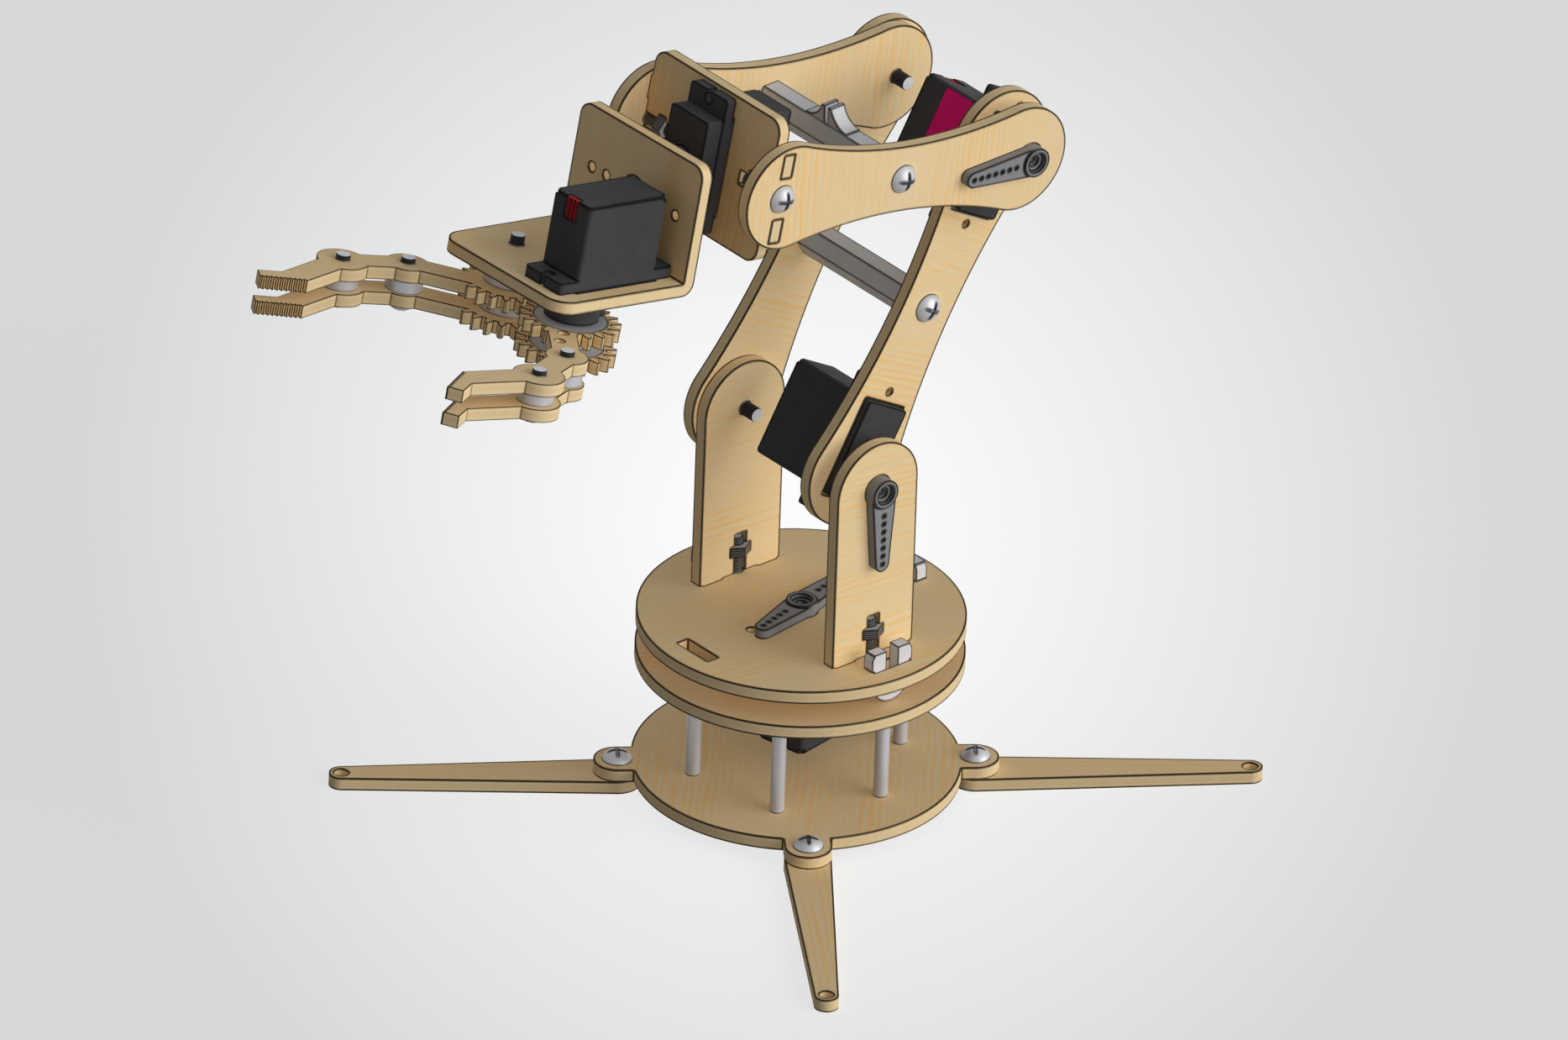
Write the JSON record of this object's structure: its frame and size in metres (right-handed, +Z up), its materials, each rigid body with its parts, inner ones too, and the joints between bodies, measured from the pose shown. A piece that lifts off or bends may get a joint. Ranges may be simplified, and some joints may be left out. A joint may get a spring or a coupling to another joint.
{
  "type": "robot arm",
  "caption": "Desktop robot arm cut from plywood, with a turntable on splayed legs, a two-part jointed arm, a turning wrist and a geared gripper, all driven by micro servos.",
  "frame": {"origin": "on the ground, at the centre of the circle that the four foot holes lie on", "axes": "+X points to the gripper as the arm stands at rest, +Y to the side that carries the servo horns, +Z up"},
  "size_m": [0.2163, 0.1656, 0.1837],
  "materials": {
    "plywood": "raw laser-cut plywood, satin",
    "servo_case": "moulded charcoal plastic",
    "grey_plastic": "moulded grey plastic",
    "pale_plastic": "moulded pale grey plastic",
    "steel": "bright zinc-plated",
    "lead": "soft red insulation"
  },
  "bodies": {
    "base": {"base_plate": "plywood", "leg_1": "plywood", "leg_2": "plywood", "leg_3": "plywood", "leg_4": "plywood", "leg_screws": "steel", "standoffs": "steel", "fixed_disc": "plywood", "yaw_servo_case": "servo_case", "yaw_servo_cover": "servo_case", "yaw_servo_leads": "lead"},
    "turntable": {"turntable_disc": "plywood", "near_upright": "plywood", "far_upright": "plywood", "upright_fasteners": "steel", "glide_clips": "steel", "yaw_servo_shaft": "steel", "yaw_horn": "grey_plastic", "shoulder_servo_shaft": "steel", "shoulder_horn": "grey_plastic", "shoulder_pivot_bolt": "steel"},
    "lower_arm": {"near_lower_plate": "plywood", "far_lower_plate": "plywood", "lower_bar": "pale_plastic", "lower_bar_screws": "steel", "shoulder_servo_case": "servo_case", "shoulder_servo_cover": "servo_case", "elbow_servo_case": "servo_case", "elbow_servo_cover": "servo_case", "arm_servo_leads": "lead"},
    "forearm": {"near_forearm_plate": "plywood", "far_forearm_plate": "plywood", "forearm_bar": "pale_plastic", "forearm_fasteners": "steel", "wrist_plate": "plywood", "wrist_servo_case": "servo_case", "wrist_servo_cover": "servo_case", "wrist_servo_leads": "lead", "elbow_servo_shaft": "steel", "elbow_horn": "grey_plastic", "elbow_pivot_bolt": "steel"},
    "gripper": {"gripper_bracket": "plywood", "gripper_servo_case": "servo_case", "gripper_servo_cover": "servo_case", "gripper_leads": "lead", "wrist_servo_shaft": "steel", "wrist_horn": "grey_plastic", "idler_bolt": "steel", "idler_spacer": "steel"},
    "drive_finger": {"drive_finger_upper": "plywood", "drive_finger_lower": "plywood", "drive_finger_hub": "steel", "drive_finger_spacers": "steel", "drive_finger_bolts": "steel", "gripper_servo_shaft": "steel"},
    "idler_finger": {"idler_finger_upper": "plywood", "idler_finger_lower": "plywood", "idler_finger_hub": "steel", "idler_finger_spacers": "steel", "idler_finger_bolts": "steel"}
  },
  "joints": [
    {"name": "base_yaw", "type": "hinge", "parent": "base", "child": "turntable", "pos_m": [0, 0, 0.0397], "axis": [0, 0, 1], "range_deg": [-90, 90]},
    {"name": "shoulder", "type": "hinge", "parent": "turntable", "child": "lower_arm", "pos_m": [0, 0, 0.0837], "axis": [0, 1, 0], "range_deg": [-40, 40]},
    {"name": "elbow", "type": "hinge", "parent": "lower_arm", "child": "forearm", "pos_m": [-0.04, 0, 0.15298], "axis": [0, 1, 0], "range_deg": [-75, 25]},
    {"name": "wrist_roll", "type": "hinge", "parent": "forearm", "child": "gripper", "pos_m": [0.05246, 0, 0.16525], "axis": [0.9816, 0, 0.1908], "range_deg": [-90, 90]},
    {"name": "grip", "type": "hinge", "parent": "gripper", "child": "drive_finger", "pos_m": [0.07828, 0.01067, 0.14796], "axis": [-0.1908, -0.0192, 0.9814], "range_deg": [-30.5, 15]},
    {"name": "idler", "type": "hinge", "parent": "gripper", "child": "idler_finger", "pos_m": [0.07836, -0.00982, 0.14757], "axis": [-0.1908, -0.0192, 0.9814], "range_deg": [-15, 30.5]}
  ],
  "couplings": [
    {"joint": "idler", "follows": "grip", "ratio": -1}
  ]
}
